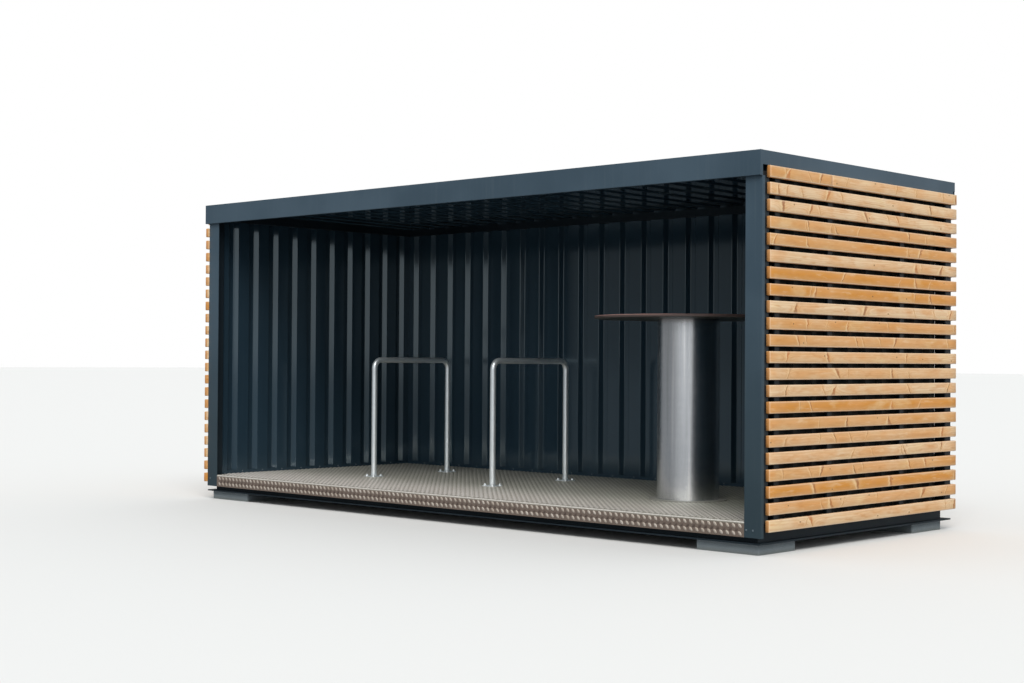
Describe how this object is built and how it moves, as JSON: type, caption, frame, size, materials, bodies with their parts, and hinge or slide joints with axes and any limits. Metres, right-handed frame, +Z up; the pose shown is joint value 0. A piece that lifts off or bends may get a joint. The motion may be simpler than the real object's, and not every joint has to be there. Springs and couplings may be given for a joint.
{
  "type": "bike shelter",
  "caption": "Open-fronted steel bike shelter with ribbed sheet walls, timber batten screens, tread plate floor, bike hoops and a round standing table.",
  "frame": {"origin": "on the ground, in the middle of the plan", "axes": "+X along the length, to the right as seen from the open front, +Y to the back wall, +Z up"},
  "size_m": [5.262, 2.254, 2.301],
  "materials": {
    "stone_pads": "matt, light grey, slightly rough",
    "dark_frame": "satin anthracite blue grey",
    "tread_plate": "raised lozenge tread",
    "dark_sheet": "semi-gloss coated trapezoidal sheet",
    "batten_timber": "oiled softwood, warm orange brown",
    "galvanised": "hot-dip galvanised",
    "stainless": "brushed stainless",
    "table_board": "reddish brown board, sealed"
  },
  "bodies": {
    "root": {"back_studs": "dark_frame", "battens_back": "batten_timber", "battens_left": "batten_timber", "battens_right": "batten_timber", "carriers_left": "dark_frame", "carriers_right": "dark_frame", "fascia_front": "dark_frame", "fascia_left": "dark_frame", "fascia_rear": "dark_frame", "fascia_right": "dark_frame", "floor_joists": "dark_frame", "floor_plate": "tread_plate", "foot_trim_back": "dark_sheet", "foot_trim_left": "dark_sheet", "foot_trim_right": "dark_sheet", "hoop_left": "galvanised", "hoop_plates": "galvanised", "hoop_right": "galvanised", "pad_front_left": "stone_pads", "pad_front_right": "stone_pads", "pad_rear_left": "stone_pads", "pad_rear_right": "stone_pads", "post_cover_left": "dark_frame", "post_cover_right": "dark_frame", "post_front_left": "dark_frame", "post_front_right": "dark_frame", "post_rear_left": "dark_frame", "post_rear_right": "dark_frame", "ring_front": "dark_frame", "ring_left": "dark_frame", "ring_rear": "dark_frame", "ring_right": "dark_frame", "roof_gutter": "dark_frame", "roof_ledger": "dark_frame", "roof_sheet": "dark_sheet", "sill_front": "dark_frame", "sill_left": "dark_frame", "sill_rear": "dark_frame", "sill_right": "dark_frame", "table_column": "stainless", "table_foot": "stainless", "table_top": "table_board", "wall_back": "dark_sheet", "wall_left": "dark_sheet", "wall_right": "dark_sheet"}
  },
  "joints": []
}
